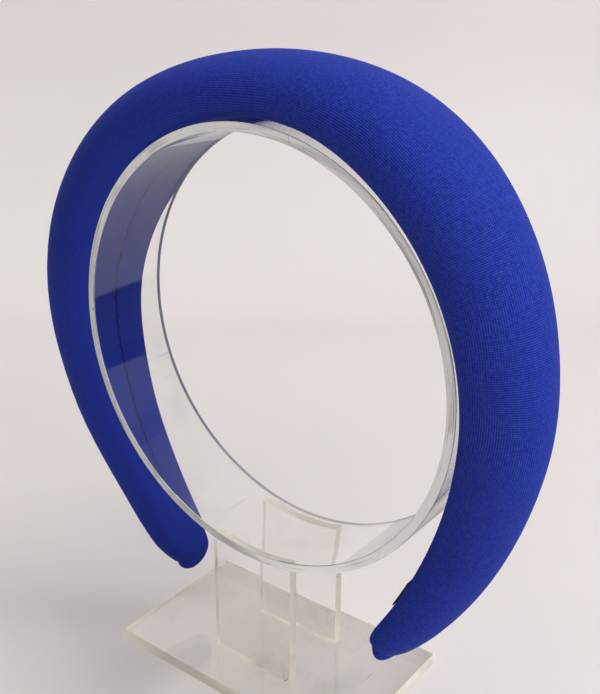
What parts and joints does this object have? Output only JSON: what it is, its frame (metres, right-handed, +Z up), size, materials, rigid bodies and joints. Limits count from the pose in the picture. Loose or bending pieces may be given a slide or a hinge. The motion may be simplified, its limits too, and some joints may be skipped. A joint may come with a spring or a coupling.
{
  "type": "padded headband on display stand",
  "caption": "Thick padded headband covered in ribbed stretch knit, resting on a clear ring that two upright sheets hold on a flat base plate.",
  "frame": {"origin": "middle of the base plate's underside", "axes": "+Z up from the underside, Y along the clear ring's axis with the ring's front face towards -Y, X across the band from its left arm to its right arm"},
  "size_m": [0.173, 0.0524, 0.1908],
  "materials": {
    "blue_knit": "matt stretch knit with fine ribs across the band",
    "black_tape": "matt woven tape",
    "clear_acrylic": "clear sheet with sawn, lightly frosted edges"
  },
  "bodies": {
    "root": {"padded_band": "blue_knit", "tip_left_end": "blue_knit", "tip_right_end": "blue_knit", "label_tab": "black_tape", "display_ring": "clear_acrylic", "cradle_front": "clear_acrylic", "cradle_back": "clear_acrylic", "base_plate": "clear_acrylic"}
  },
  "joints": []
}
